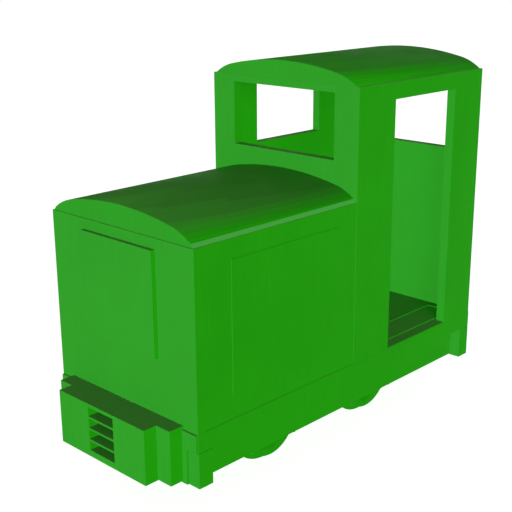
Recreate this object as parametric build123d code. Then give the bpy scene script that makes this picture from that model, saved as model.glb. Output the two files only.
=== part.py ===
from build123d import *
from math import acos, atan2, cos, radians, sin
import os

# Narrow-gauge diesel locomotive with a bonnet in front and a cab behind. Sizes are in millimetres.
# The bonnet end faces -Y, the doorway is on +X, and z = 0 is the lowest point of the wheel flanges.

# Wheels and axles
tread_radius = 230.0
flange_height = 38.0
flange_thickness = 26.0
rim_width = 80.0
rim_depth = 42.0
web_thickness = 40.0
hub_radius = 78.0
hub_length = 104.0
axle_radius = 40.0
journal_radius = 30.0
running_gap = 0.3
wheel_box_gap = 68.0
front_axle_from_front = 823.0
wheelbase = 952.0

# Frame
frame_half_width = 604.0
frame_plate = 30.0
frame_depth = 260.0
frame_end_depth = 110.0
wheel_top_gap = 22.0
beam_length = 101.0
beam_proud = 4.0
beam_depth = 209.0
beam_web = 60.0
rear_notch = 120.0
plate_thickness = 12.0
plate_inset = 4.0
plate_corner_cut = 78.0
stretcher_plate = 24.0
stretcher_depth = 75.0
stretcher_from_axle = 380.0
bearer_inset = 5.0
bearer_width = 40.0
bearer_depth = 30.0

# Coupler blocks
coupler_inset = 32.0
coupler_nose_inset = 108.0
coupler_base_reach = 101.0
coupler_nose_reach = 188.0
coupler_top = 22.0
coupler_step = 3.0
coupler_foot = 40.0
slot_half_width = 112.0
slot_reach = 130.0
slot_height = 57.0
slot_shelf = 14.0
slot_count = 4

# Axleboxes, horn guides and springs
box_width = 75.0
box_frame_gap = 69.0
box_half_length = 60.0
box_half_height = 45.0
box_cover = 10.0
guide_lap = 17.0
guide_plate = 22.0
guide_foot = 56.0
guide_foot_plate = 12.0
guide_foot_rise = 24.0
guide_top_gap = 60.0
guide_above_axle = 12.0
spring_guide_gap = 3.0
spring_width = 45.0
spring_half_length = 270.0
spring_camber = 45.0
leaf_count = 6
leaf_thickness = 10.0
leaf_step = 36.5
buckle_half_length = 34.0
buckle_strap = 14.0
eye_radius = 17.0
link_plate = 10.0
link_drop = 74.0
link_half_length = 18.0
link_corner = 10.0
bracket_height = 30.0

# Brakes
brake_gap = 5.0
brake_block_height = 78.0
brake_block_width = 44.0
brake_block_inset = 4.0
brake_strap_thickness = 16.0
brake_strap_seat = 4.0
brake_pin_radius = 19.0
brake_pin_drop = 42.0
brake_bar = 30.0
pull_rod_width = 36.0
pull_rod_height = 16.0

# Engine, gearbox and axle drives
engine_wheel_gap = 52.0
engine_front_gap = 105.0
engine_height = 880.0
engine_drive_gap = 35.0
gearbox_length = 285.0
gearbox_height = 480.0
gearbox_step = 55.0
gearbox_cab_gap = 31.0
drive_radius = 105.0
drive_half_width = 90.0
drive_arm_root = 84.0
drive_arm_height = 50.0

# Bonnet
bonnet_length = 1316.0
bonnet_height = 1033.0
bonnet_front_depth = 55.0
bonnet_front_web = 27.0
bonnet_front_rim = 34.0
bonnet_rib = 20.0
bonnet_rib_count = 2
bonnet_inset = 3.0
bonnet_sheet = 25.0
sill_plate = 5.0
sill_width = 64.0
lid_ledge = 4.0
lid_bevel_width = 20.0
lid_bevel_height = 22.0
lid_rise = 109.0
lid_corner_radius = 396.0
lid_corner_angle = 35.4
lid_shell = 25.0
lid_setback = 7.0
panel_half_width = 305.0
panel_bottom_margin = 361.0
panel_top_margin = 61.0
panel_proud = 28.0
door_front_margin = 264.0
door_back_margin = 171.0
door_bottom_margin = 148.0
door_top_margin = 113.0
door_plate = 5.7
door_pan = 16.0
door_lap = 20.0
door_clearance = 15.0
door_gap = 0.3

# Cab
cab_length = 1309.0
cab_wall = 60.0
cab_height = 1714.0
roof_ledge = 23.0
roof_rise = 114.0
roof_corner_radius = 366.0
roof_corner_angle = 37.5
roof_shell = 28.0
roof_end = 30.0
doorway_front_margin = 354.0
doorway_back_margin = 313.0
doorway_top_margin = 106.0
left_window_front_margin = 342.0
left_window_sill = 1211.0
window_side_margin = 186.0
window_top_margin = 47.0
front_window_rise = 232.0
rear_window_sill = 1167.0
floor_plate = 6.0
floor_side_strip = 82.0
mat_thickness = 6.0
mat_side_strip = 180.0
mat_back_strip = 57.0

# Cab fittings
desk_side_gap = 44.0
desk_width = 440.0
desk_foot_depth = 124.0
desk_depth = 164.0
desk_top_depth = 94.0
desk_height = 965.0
desk_slope_height = 55.0
desk_nose_height = 110.0
lever_base = 46.0
lever_base_height = 10.0
lever_width = 24.0
lever_plate = 8.0
lever_length = 120.0
lever_knob_radius = 17.0
lever_knob_height = 26.0
lever_count = 3
lever_pitch = 110.0
column_desk_gap = 260.0
column_wall_gap = 150.0
column_radius = 22.0
column_foot = 110.0
column_foot_height = 14.0
column_height = 880.0
handwheel_radius = 110.0
handwheel_rim = 20.0
handwheel_hub_radius = 30.0
handwheel_hub_height = 34.0
handwheel_spoke = 14.0
handwheel_spoke_count = 3
seat_side_gap = 74.0
seat_back_gap = 149.0
seat_width = 360.0
seat_depth = 340.0
seat_height = 440.0
seat_cushion = 36.0
seat_bend = 60.0
seat_back_height = 330.0
seat_post = 80.0
seat_foot = 220.0
seat_foot_height = 12.0

# Heights worked out from the sizes above
axle_z = flange_height + tread_radius
wheel_top_z = axle_z + tread_radius + flange_height
deck_z = wheel_top_z + wheel_top_gap
sill_z = deck_z + sill_plate
floor_z = sill_z + floor_plate
mat_z = floor_z + mat_thickness
plate_low_z = deck_z - frame_depth
beam_top_z = deck_z - frame_end_depth
beam_bottom_z = beam_top_z - beam_depth
bonnet_top_z = deck_z + bonnet_height
eave_z = deck_z + cab_height
window_top_z = eave_z - window_top_margin
doorway_top_z = eave_z - doorway_top_margin
engine_base_z = axle_z + drive_radius + engine_drive_gap
bearer_z = engine_base_z - bearer_depth
stretcher_z = bearer_z - stretcher_depth
box_top_z = axle_z + box_half_height
spring_low_z = box_top_z + buckle_strap
spring_mid_z = spring_low_z + leaf_count * leaf_thickness
eye_z = spring_mid_z + spring_camber - leaf_thickness / 2
brake_pin_z = deck_z - brake_pin_drop

# Distances from the middle plane
plate_inner_x = frame_half_width - frame_plate
cab_inner_x = frame_half_width - cab_wall
bonnet_side_x = frame_half_width - bonnet_inset
end_plate_x = frame_half_width - plate_inset
end_plate_low_x = end_plate_x - plate_corner_cut
coupler_x = end_plate_low_x - coupler_inset
coupler_nose_x = coupler_x - coupler_nose_inset
lid_x = bonnet_side_x - lid_ledge
lid_shoulder_x = lid_x - lid_bevel_width
box_outer_x = plate_inner_x - box_frame_gap
box_inner_x = box_outer_x - box_width
guide_inner_x = box_outer_x - guide_lap
spring_outer_x = guide_inner_x - spring_guide_gap
spring_inner_x = spring_outer_x - spring_width
rim_outer_x = box_inner_x - wheel_box_gap
rim_inner_x = rim_outer_x - rim_width
hub_outer_x = rim_inner_x + hub_length
brake_outer_x = rim_outer_x - brake_block_inset
brake_inner_x = brake_outer_x - brake_block_width
engine_x = rim_inner_x - engine_wheel_gap
gearbox_x = engine_x - gearbox_step
floor_edge_x = frame_half_width - floor_side_strip
mat_edge_x = floor_edge_x - mat_side_strip

# Places along the locomotive
body_length = bonnet_length + cab_length
front_y = -body_length / 2
back_y = body_length / 2
bonnet_front_back_y = front_y + bonnet_front_depth
bonnet_back_y = front_y + bonnet_length
cab_front_inner_y = bonnet_back_y + cab_wall
cab_back_inner_y = back_y - cab_wall
axle_ys = (front_y + front_axle_from_front, front_y + front_axle_from_front + wheelbase)
stretcher_ys = (
    axle_ys[0] - stretcher_from_axle,
    axle_ys[0] + stretcher_from_axle,
    axle_ys[1] + stretcher_from_axle,
)
gearbox_back_y = bonnet_back_y - gearbox_cab_gap
engine_back_y = gearbox_back_y - gearbox_length
brake_middle = tread_radius + flange_height + brake_gap + brake_bar / 2
brake_strap_near = brake_middle - brake_strap_thickness / 2


def block(x0, x1, y0, y1, z0, z1):
    """A box between two corners."""
    return Pos((x0 + x1) / 2, (y0 + y1) / 2, (z0 + z1) / 2) * Box(x1 - x0, y1 - y0, z1 - z0)


def bar(half_width, y0, y1, z0, z1):
    """A box as wide to the left as to the right."""
    return block(-half_width, half_width, y0, y1, z0, z1)


def rod_x(radius, x0, x1, y, z):
    """A round bar along X."""
    return Pos((x0 + x1) / 2, y, z) * Rot(0, 90, 0) * Cylinder(radius, x1 - x0)


def rod_z(radius, x, y, z0, z1):
    """A round bar along Z."""
    return Pos(x, y, (z0 + z1) / 2) * Cylinder(radius, z1 - z0)


def along_x(face, x0, x1):
    """A face drawn in Y and Z, extruded from x0 to x1."""
    return extrude(Plane.YZ.offset(x0) * face, amount=x1 - x0)


def along_y(face, y0, y1):
    """A face drawn in X and Z, extruded from y0 to y1."""
    return extrude(Plane.XZ.offset(-y0) * face, amount=-(y1 - y0))


def outline(*points):
    """A flat face with straight edges."""
    return make_face(Polyline(*points, close=True))


def area(u0, u1, v0, v1):
    """A rectangle between two corners."""
    return Pos((u0 + u1) / 2, (v0 + v1) / 2) * Rectangle(u1 - u0, v1 - v0)


def arch(half_width, base_z, rise, corner_radius, corner_angle, inset=0.0):
    """The face under a crown arc and two tighter corner arcs. The inset gives the inner line of a shell."""
    drop = corner_radius * cos(radians(corner_angle))
    corner_x = half_width - corner_radius * sin(radians(corner_angle))
    reach = rise + drop
    crown_radius = (corner_x**2 + reach**2 - corner_radius**2) / (2 * (reach - corner_radius))
    crown_z = rise - crown_radius
    join = atan2(corner_x, -drop - crown_z)
    small = corner_radius - inset
    end = acos(drop / small)

    def corner(angle, side):
        x = corner_x + small * sin(angle)
        return (side * x, base_z - drop + small * cos(angle))

    crown = ThreePointArc(corner(join, 1), (0, base_z + rise - inset), corner(join, -1))
    middle = (join + end) / 2
    shoulders = [ThreePointArc(*[corner(angle, side) for angle in (join, middle, end)]) for side in (1, -1)]
    base = Line(corner(end, 1), corner(end, -1))
    return make_face([crown, *shoulders, base])


def left(shape):
    """The same piece on the other side of the locomotive."""
    return shape.mirror(Plane.YZ)


def rear(shape):
    """The same piece at the other end of the locomotive."""
    return shape.mirror(Plane.XZ)


def group(*solids):
    """Separate solids of one node."""
    return Compound(children=[piece for solid in solids for piece in solid.solids()])


def save(shape, name):
    export_step(shape, f"parts/{name}.step")


def frame_side():
    """A side plate, deep between the beams and shallow over them."""
    low_front = front_y + beam_length
    low_back = back_y - beam_length - rear_notch
    face = area(front_y, back_y, beam_top_z, deck_z)
    face += area(low_front, low_back, plate_low_z, beam_top_z)
    return along_x(face, plate_inner_x, frame_half_width)


def end_beam():
    """The front beam: a heavy bar under the plate ends, with a web between them."""
    half_width = frame_half_width + beam_proud
    heavy = bar(half_width, front_y, front_y + beam_length, beam_bottom_z, beam_top_z)
    return heavy + bar(plate_inner_x, front_y, front_y + beam_web, beam_top_z, deck_z)


def end_plate():
    """The front plate on the beam, with its lower corners cut away."""
    face = area(-end_plate_x, end_plate_x, beam_top_z, deck_z)
    face += area(-end_plate_low_x, end_plate_low_x, beam_bottom_z, beam_top_z)
    return along_y(face, front_y - plate_thickness, front_y)


def coupler():
    """The stepped coupler casting with its link slots, one over the other."""
    pitch = slot_height + slot_shelf
    top = deck_z + coupler_top
    bottom = deck_z - slot_count * pitch + slot_shelf - coupler_foot
    face_y = front_y - plate_thickness
    base_y = front_y - coupler_base_reach
    nose_y = front_y - coupler_nose_reach
    casting = bar(coupler_x, base_y, face_y, bottom + coupler_step, top)
    casting += bar(coupler_nose_x, nose_y, base_y, bottom, top)
    casting += bar(coupler_x, face_y, front_y, deck_z, top)
    for number in range(slot_count):
        slot_top = deck_z - number * pitch
        casting -= bar(slot_half_width, nose_y, nose_y + slot_reach, slot_top - slot_height, slot_top)
    return casting


def stretcher(y, top):
    """A cross plate between the side plates."""
    half = stretcher_plate / 2
    return bar(plate_inner_x, y - half, y + half, stretcher_z, top)


def engine_bearer():
    """The +X bearer on the cross plates, which carries the engine and the gearbox."""
    start = front_y + beam_length
    end = stretcher_ys[2] - stretcher_plate / 2
    outer_x = gearbox_x - bearer_inset
    return block(outer_x - bearer_width, outer_x, start, end, bearer_z, engine_base_z)


def wheel():
    """One cast wheel on the +X side: a hub and a web with a flat back, inside a flanged rim."""
    rim_low = tread_radius - rim_depth
    web_outer_x = rim_inner_x + web_thickness
    section = outline(
        (rim_inner_x, axle_radius),
        (hub_outer_x, axle_radius),
        (hub_outer_x, hub_radius),
        (web_outer_x, hub_radius),
        (web_outer_x, rim_low),
        (rim_outer_x, rim_low),
        (rim_outer_x, tread_radius),
        (rim_inner_x + flange_thickness, tread_radius),
        (rim_inner_x + flange_thickness, tread_radius + flange_height),
        (rim_inner_x, tread_radius + flange_height),
    )
    return revolve(section, Axis.X)


def axle():
    """An axle with its wheel seats and journals."""
    end = box_outer_x - box_cover
    return rod_x(axle_radius, -hub_outer_x, hub_outer_x, 0, 0) + rod_x(journal_radius, -end, end, 0, 0)


def axlebox(y):
    """The bearing box of one journal, on the +X side."""
    near = y - box_half_length
    far = y + box_half_length
    body = block(box_inner_x, box_outer_x, near, far, axle_z - box_half_height, box_top_z)
    depth = box_outer_x - box_cover + running_gap
    return body - rod_x(journal_radius + running_gap, box_inner_x, depth, y, axle_z)


def horn_guides(y):
    """The pair of guides beside one axlebox, each a web with a foot on the side plate."""
    low = axle_z + guide_above_axle
    high = deck_z - guide_top_gap
    foot_x = plate_inner_x - guide_foot_plate
    pieces = []
    for side in (-1, 1):
        near = y + side * box_half_length
        far = near + side * guide_plate
        foot = near + side * guide_foot
        web = block(guide_inner_x, plate_inner_x, min(near, far), max(near, far), low, high)
        flange = block(foot_x, plate_inner_x, min(near, foot), max(near, foot), low + guide_foot_rise, high)
        pieces.append(web + flange)
    return pieces


def leaf_spring(y):
    """A laminated spring over one axlebox: stepped leaves, a buckle and an eye at each end."""
    curve_radius = (spring_half_length**2 + spring_camber**2) / (2 * spring_camber)
    centre_z = spring_mid_z + curve_radius
    face = area(-buckle_half_length, buckle_half_length, box_top_z, spring_mid_z + buckle_strap)
    for number in range(leaf_count):
        upper = curve_radius + number * leaf_thickness
        half_length = spring_half_length - number * leaf_step
        leaf = Pos(0, centre_z) * (Circle(upper + leaf_thickness) - Circle(upper))
        face += leaf & area(-half_length, half_length, box_top_z, eye_z + leaf_thickness)
    for side in (-1, 1):
        face += Pos(side * spring_half_length, eye_z) * Circle(eye_radius)
    return Pos(0, y, 0) * along_x(face, spring_inner_x, spring_outer_x)


def spring_hangers(y):
    """The two hangers of one spring: a bracket on the side plate and two links with cut corners."""
    low = eye_z - link_drop
    high = eye_z + link_half_length
    inner_x = spring_inner_x - link_plate
    half = link_half_length
    link = outline(
        (-half, low),
        (half, low),
        (half, high - link_corner),
        (half - link_corner, high),
        (link_corner - half, high),
        (-half, high - link_corner),
    )
    hanger = block(inner_x, plate_inner_x, -half, half, low - bracket_height, low)
    for x in (inner_x, spring_outer_x):
        hanger += along_x(link, x, x + link_plate)
    return [Pos(0, y + side * spring_half_length, 0) * hanger for side in (-1, 1)]


def brake_hanger(y, side):
    """A brake block on its hanger, on the +X side. The sign tells which side of the wheel."""
    block_back = brake_strap_near + brake_strap_seat
    shoe = Circle(block_back) - Circle(tread_radius + brake_gap)
    shoe &= area(0, block_back, -brake_block_height, brake_block_height)
    pin_z = brake_pin_z - axle_z
    strap = area(brake_strap_near, brake_strap_near + brake_strap_thickness, -brake_bar, pin_z)
    hanger = along_x(shoe + strap, brake_inner_x, brake_outer_x)
    hanger += rod_x(brake_pin_radius, brake_inner_x, plate_inner_x, brake_middle, pin_z)
    if side < 0:
        hanger = rear(hanger)
    return Pos(0, y, axle_z) * hanger


def brake_beam(y, side):
    """The square bar that joins the two hangers of one axle."""
    middle = y + side * brake_middle
    half = brake_bar / 2
    return bar(brake_inner_x, middle - half, middle + half, axle_z - brake_bar, axle_z)


def axle_drive(y, arm_y):
    """The gear case on one axle, which narrows to an arm on a cross plate."""
    face = Pos(y, axle_z) * Circle(drive_radius)
    face += outline(
        (y, axle_z - drive_arm_root),
        (arm_y, stretcher_z),
        (arm_y, stretcher_z + drive_arm_height),
        (y, axle_z + drive_arm_root),
    )
    face -= Pos(y, axle_z) * Circle(axle_radius + running_gap)
    return along_x(face, -drive_half_width, drive_half_width)


def bonnet_front():
    """The cast front of the bonnet: a plain face with a rim and ribs behind it."""
    back = bonnet_front_back_y
    body = bar(frame_half_width, front_y, back, deck_z, bonnet_top_z)
    inner_x = frame_half_width - bonnet_front_rim
    web_y = front_y + bonnet_front_web
    low = deck_z + bonnet_front_rim
    high = bonnet_top_z - bonnet_front_rim
    body -= bar(inner_x, web_y, back, low, high)
    pitch = 2 * inner_x / (bonnet_rib_count + 1)
    for number in range(bonnet_rib_count):
        x = (number + 1) * pitch - inner_x
        body += block(x - bonnet_rib / 2, x + bonnet_rib / 2, web_y, back, low, high)
    return body


def front_panel():
    """The raised plain panel in front."""
    low = deck_z + panel_bottom_margin
    return bar(panel_half_width, front_y - panel_proud, front_y, low, bonnet_top_z - panel_top_margin)


def door_block(x0, x1, inset):
    """A block as large as the side cover of the bonnet, less an inset all round."""
    return block(
        x0,
        x1,
        front_y + door_front_margin + inset,
        bonnet_back_y - door_back_margin - inset,
        deck_z + door_bottom_margin + inset,
        bonnet_top_z - door_top_margin - inset,
    )


def bonnet_sill():
    """The strip on the deck under the +X side sheet."""
    inner_x = frame_half_width - sill_width
    return block(inner_x, frame_half_width, bonnet_front_back_y, bonnet_back_y, deck_z, sill_z)


def bonnet_side():
    """The +X side sheet of the bonnet with its door opening."""
    inner_x = bonnet_side_x - bonnet_sheet
    sheet = block(inner_x, bonnet_side_x, bonnet_front_back_y, bonnet_back_y, sill_z, bonnet_top_z)
    return sheet - door_block(inner_x, bonnet_side_x, door_lap)


def bonnet_door():
    """The raised side cover with a pan that enters the opening."""
    face_x = bonnet_side_x + door_gap
    leaf = door_block(face_x, face_x + door_plate, 0.0)
    return leaf + door_block(face_x - door_pan, face_x, door_lap + door_clearance)


def bonnet_lid():
    """The arched lid: a shell with a bevel along each side and a closed front end."""
    shoulder_z = bonnet_top_z + lid_bevel_height
    outer = outline(
        (-lid_x, bonnet_top_z),
        (lid_x, bonnet_top_z),
        (lid_shoulder_x, shoulder_z),
        (-lid_shoulder_x, shoulder_z),
    )
    curve = (lid_shoulder_x, shoulder_z, lid_rise, lid_corner_radius, lid_corner_angle)
    outer += arch(*curve)
    inner = arch(*curve, lid_shell)
    inner_x = inner.bounding_box().max.X
    inner += area(-inner_x, inner_x, bonnet_top_z, shoulder_z)
    start = front_y + lid_setback
    return along_y(outer, start, bonnet_back_y) - along_y(inner, start + lid_shell, bonnet_back_y)


def end_wall(y0, window_low_z):
    """A cab end wall with its window."""
    y1 = y0 + cab_wall
    window_x = frame_half_width - window_side_margin
    return bar(frame_half_width, y0, y1, sill_z, eave_z) - bar(window_x, y0, y1, window_low_z, window_top_z)


def side_wall(opening_front_margin, opening_low_z):
    """A cab side wall on the +X side with one opening."""
    wall = block(cab_inner_x, frame_half_width, cab_front_inner_y, cab_back_inner_y, sill_z, eave_z)
    near = bonnet_back_y + opening_front_margin
    far = back_y - doorway_back_margin
    return wall - block(cab_inner_x, frame_half_width, near, far, opening_low_z, doorway_top_z)


def cab_roof():
    """The arched roof: a shell closed at both ends."""
    curve = (frame_half_width - roof_ledge, eave_z, roof_rise, roof_corner_radius, roof_corner_angle)
    outer = along_y(arch(*curve), bonnet_back_y, back_y)
    return outer - along_y(arch(*curve, roof_shell), bonnet_back_y + roof_end, back_y - roof_end)


def cab_floor():
    """The cab floor: a sill plate under the walls and a floor plate between them."""
    sill = bar(frame_half_width, bonnet_back_y, back_y, deck_z, sill_z)
    return sill + block(-cab_inner_x, floor_edge_x, cab_front_inner_y, cab_back_inner_y, sill_z, floor_z)


def cab_mat():
    """The raised tread on the floor, which turns along the back wall."""
    back = cab_back_inner_y
    strip = back - mat_back_strip
    face = outline(
        (-cab_inner_x, cab_front_inner_y),
        (mat_edge_x, cab_front_inner_y),
        (mat_edge_x, strip),
        (floor_edge_x, strip),
        (floor_edge_x, back),
        (-cab_inner_x, back),
    )
    return extrude(Plane.XY.offset(floor_z) * face, amount=mat_thickness)


def control_desk():
    """The driver's desk on the front wall, with a sloping nose."""
    y = cab_front_inner_y
    top = deck_z + desk_height
    slope = top - desk_slope_height
    face = outline(
        (y, mat_z),
        (y + desk_foot_depth, mat_z),
        (y + desk_depth, slope - desk_nose_height),
        (y + desk_depth, slope),
        (y + desk_top_depth, top),
        (y, top),
    )
    x0 = desk_side_gap - cab_inner_x
    return along_x(face, x0, x0 + desk_width)


def control_levers():
    """The levers on the flat top of the desk."""
    foot_z = deck_z + desk_height
    stem_z = foot_z + lever_base_height
    knob_z = stem_z + lever_length
    middle_x = desk_side_gap - cab_inner_x + desk_width / 2
    y = cab_front_inner_y + desk_top_depth / 2
    half = lever_base / 2
    half_plate = lever_plate / 2
    half_width = lever_width / 2
    levers = []
    for number in range(lever_count):
        x = middle_x + (number - (lever_count - 1) / 2) * lever_pitch
        foot = block(x - half, x + half, y - half, y + half, foot_z, stem_z)
        stem = block(x - half_plate, x + half_plate, y - half_width, y + half_width, stem_z, knob_z)
        knob = rod_z(lever_knob_radius, x, y, knob_z, knob_z + lever_knob_height)
        levers.append(foot + stem + knob)
    return group(*levers)


def brake_column():
    """The parking brake column with its handwheel."""
    x = desk_side_gap - cab_inner_x + desk_width + column_desk_gap
    y = cab_front_inner_y + column_wall_gap
    top = mat_z + column_height
    half_foot = column_foot / 2
    foot_top = mat_z + column_foot_height
    body = block(x - half_foot, x + half_foot, y - half_foot, y + half_foot, mat_z, foot_top)
    body += rod_z(column_radius, x, y, mat_z, top)
    body += rod_z(handwheel_hub_radius, x, y, top, top + handwheel_hub_height)
    rim_top = top + handwheel_rim
    inner_radius = handwheel_radius - handwheel_rim
    body += rod_z(handwheel_radius, x, y, top, rim_top) - rod_z(inner_radius, x, y, top, rim_top)
    half = handwheel_spoke / 2
    spoke = block(0, handwheel_radius - handwheel_rim / 2, -half, half, top, top + handwheel_spoke)
    for number in range(handwheel_spoke_count):
        body += Pos(x, y, 0) * Rot(0, 0, 360 / handwheel_spoke_count * number) * spoke
    return body


def driver_seat():
    """The driver's seat: a cushion that bends up into the back, on a square post."""
    back = cab_back_inner_y - seat_back_gap
    front = back - seat_depth
    top = mat_z + seat_height
    low = top - seat_cushion
    high = top + seat_back_height
    bend_y = back - seat_cushion - seat_bend
    bend_z = top + seat_bend
    half = seat_cushion / 2

    def bend(radius):
        swing = radius * sin(radians(45))
        return ThreePointArc(
            (bend_y, bend_z - radius), (bend_y + swing, bend_z - swing), (bend_y + radius, bend_z)
        )

    face = make_face(
        [
            Line((front, low), (bend_y, low)),
            bend(seat_bend + seat_cushion),
            Line((back, bend_z), (back, high)),
            ThreePointArc((back, high), (back - half, high + half), (back - seat_cushion, high)),
            Line((back - seat_cushion, high), (back - seat_cushion, bend_z)),
            bend(seat_bend),
            Line((bend_y, top), (front, top)),
            ThreePointArc((front, top), (front - half, top - half), (front, low)),
        ]
    )
    x0 = seat_side_gap - cab_inner_x
    x = x0 + seat_width / 2
    y = (front + bend_y) / 2
    seat = along_x(face, x0, x0 + seat_width)
    for size, height in ((seat_post, low), (seat_foot, mat_z + seat_foot_height)):
        reach = size / 2
        seat += block(x - reach, x + reach, y - reach, y + reach, mat_z, height)
    return seat


def both_sides(solids):
    """The given +X solids and their copies on the other side."""
    return group(*solids, *[left(solid) for solid in solids])


def make_frame():
    save(frame_side(), "frame_right")
    save(left(frame_side()), "frame_left")
    save(end_beam(), "front_beam")
    save(rear(end_beam()), "rear_beam")
    save(end_plate(), "front_plate")
    save(rear(end_plate()), "rear_plate")
    save(coupler(), "front_coupler")
    save(rear(coupler()), "rear_coupler")
    cross_plates = [stretcher(y, top) for y, top in zip(stretcher_ys, (bearer_z, bearer_z, deck_z))]
    save(group(*cross_plates, both_sides([engine_bearer()])), "frame_stretchers")


def make_running_gear():
    for name, y in zip(("front", "rear"), axle_ys):
        save(Pos(0, y, axle_z) * axle(), f"axle_{name}")
        save(Pos(0, y, axle_z) * wheel(), f"wheel_{name}_right")
        save(Pos(0, y, axle_z) * left(wheel()), f"wheel_{name}_left")
        save(both_sides([axlebox(y)]), f"axleboxes_{name}")
        save(both_sides([leaf_spring(y)]), f"springs_{name}")
    guides = [piece for y in axle_ys for piece in horn_guides(y)]
    save(both_sides(guides), "horn_guides")
    hangers = [piece for y in axle_ys for piece in spring_hangers(y)]
    save(both_sides(hangers), "spring_hangers")


def make_brakes():
    sides = (1, -1)
    hangers = [brake_hanger(y, side) for y, side in zip(axle_ys, sides)]
    save(both_sides(hangers), "brake_hangers")
    save(group(*[brake_beam(y, side) for y, side in zip(axle_ys, sides)]), "brake_beams")
    start = axle_ys[0] + brake_middle + brake_bar / 2
    end = axle_ys[1] - brake_middle - brake_bar / 2
    middle_z = axle_z - brake_bar / 2
    half_height = pull_rod_height / 2
    save(bar(pull_rod_width / 2, start, end, middle_z - half_height, middle_z + half_height), "brake_pull_rod")


def make_drive():
    engine_start = bonnet_front_back_y + engine_front_gap
    engine_top_z = engine_base_z + engine_height
    save(bar(engine_x, engine_start, engine_back_y, engine_base_z, engine_top_z), "engine")
    gearbox_top_z = engine_base_z + gearbox_height
    save(bar(gearbox_x, engine_back_y, gearbox_back_y, engine_base_z, gearbox_top_z), "gearbox")
    front_arm = stretcher_ys[0] + stretcher_plate / 2
    rear_arm = stretcher_ys[2] - stretcher_plate / 2
    save(group(axle_drive(axle_ys[0], front_arm), axle_drive(axle_ys[1], rear_arm)), "axle_drives")


def make_bonnet():
    save(bonnet_front(), "bonnet_front")
    save(front_panel(), "bonnet_front_panel")
    for name, piece in (("sill", bonnet_sill()), ("side", bonnet_side()), ("door", bonnet_door())):
        save(piece, f"bonnet_{name}_right")
        save(left(piece), f"bonnet_{name}_left")
    save(bonnet_lid(), "bonnet_lid")


def make_cab():
    save(end_wall(bonnet_back_y, bonnet_top_z + front_window_rise), "cab_front_wall")
    save(end_wall(cab_back_inner_y, deck_z + rear_window_sill), "cab_rear_wall")
    save(side_wall(doorway_front_margin, sill_z), "cab_right_wall")
    save(left(side_wall(left_window_front_margin, deck_z + left_window_sill)), "cab_left_wall")
    save(cab_roof(), "cab_roof")
    save(cab_floor(), "cab_floor")
    save(cab_mat(), "cab_floor_mat")
    save(control_desk(), "control_desk")
    save(control_levers(), "control_levers")
    save(brake_column(), "brake_column")
    save(driver_seat(), "driver_seat")


os.makedirs("parts", exist_ok=True)
make_frame()
make_running_gear()
make_brakes()
make_drive()
make_bonnet()
make_cab()
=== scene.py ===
from math import cos, degrees, pi, radians, sin, tan, tanh

import bmesh
import bpy
from mathutils import Matrix, Vector


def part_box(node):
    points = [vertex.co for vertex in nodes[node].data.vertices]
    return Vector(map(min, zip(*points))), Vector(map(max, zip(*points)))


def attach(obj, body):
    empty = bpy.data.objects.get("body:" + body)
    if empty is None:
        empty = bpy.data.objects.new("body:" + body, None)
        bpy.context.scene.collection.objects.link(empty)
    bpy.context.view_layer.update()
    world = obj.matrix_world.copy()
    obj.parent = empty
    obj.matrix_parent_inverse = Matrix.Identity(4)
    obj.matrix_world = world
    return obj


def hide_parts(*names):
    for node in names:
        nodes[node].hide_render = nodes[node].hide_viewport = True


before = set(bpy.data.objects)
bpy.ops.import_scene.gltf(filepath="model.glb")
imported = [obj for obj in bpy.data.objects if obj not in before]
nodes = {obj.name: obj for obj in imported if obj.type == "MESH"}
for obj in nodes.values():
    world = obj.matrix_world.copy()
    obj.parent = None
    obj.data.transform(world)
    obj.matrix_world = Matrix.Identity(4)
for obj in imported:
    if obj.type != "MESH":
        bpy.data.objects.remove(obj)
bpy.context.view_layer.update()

# Sizes are in metres, and colours are linear values.
# View of the photograph: heading from +Y towards -X, tilt, roll, place, and lens for a 36 mm frame
HEADING = radians(44.05)
TILT = radians(16.921)
ROLL = radians(-0.369)
CAMERA_PLACE = Vector((4.112, -4.4875, 2.991))
SENSOR_MM = 36.0
LENS_MM = 69.23
VIEW_END = 100.0

# Colours in plain light
WHITE = (1.0, 1.0, 1.0)
GREEN = (0.0150, 0.320, 0.0036)
# Paler green of the ends: fading, and a painted sheen
FADE_AND_SHEEN_GREEN = (0.0275, 0.322, 0.0190)
# Greyer green of upward faces: dust, and a painted sheen
DUST_AND_SHEEN_GREEN = (0.100, 0.300, 0.060)
# Painted highlight along the lid's bevelled edges
HIGHLIGHT_GREEN = (0.078, 0.45, 0.068)
GEAR_GREEN = (0.011, 0.150, 0.007)
GRIME = (0.020, 0.018, 0.013)
STEEL = (0.46, 0.45, 0.43)
# Dark steel of the treads: grease, and painted shade
TREAD_GREASE_AND_SHADE_STEEL = (0.100, 0.115, 0.090)
CAST_IRON = (0.085, 0.060, 0.045)
BLACK = (0.016, 0.016, 0.017)
VINYL = (0.022, 0.024, 0.022)
DIAL = (0.72, 0.72, 0.68)
FLOOR_GREY = (0.8, 0.8, 0.8)

# Shine, as specular levels
PAINT_SHINE = 0.012
ROOF_SHINE = 0.003
GEAR_SHINE = 0.3
LEVER_SHINE = 0.25
VINYL_SHINE = 0.35
DIAL_SHINE = 0.3
ENAMEL_SHINE = 0.4

# Middle roughness of each finish, and how far the gloss of paint swings round it
PAINT_ROUGHNESS = 0.55
CAST_ROUGHNESS = 0.62
GEAR_ROUGHNESS = 0.6
GREASE_ROUGHNESS = 0.38
BRAKE_ROUGHNESS = 0.65
KNOB_ROUGHNESS = 0.3
HANDWHEEL_ROUGHNESS = 0.35
SEAT_ROUGHNESS = 0.5
VINYL_ROUGHNESS = 0.45
DIAL_ROUGHNESS = 0.35
ENAMEL_ROUGHNESS = 0.32
FLOOR_ROUGHNESS = 0.9
GLOSS_SWING = 0.07

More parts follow.
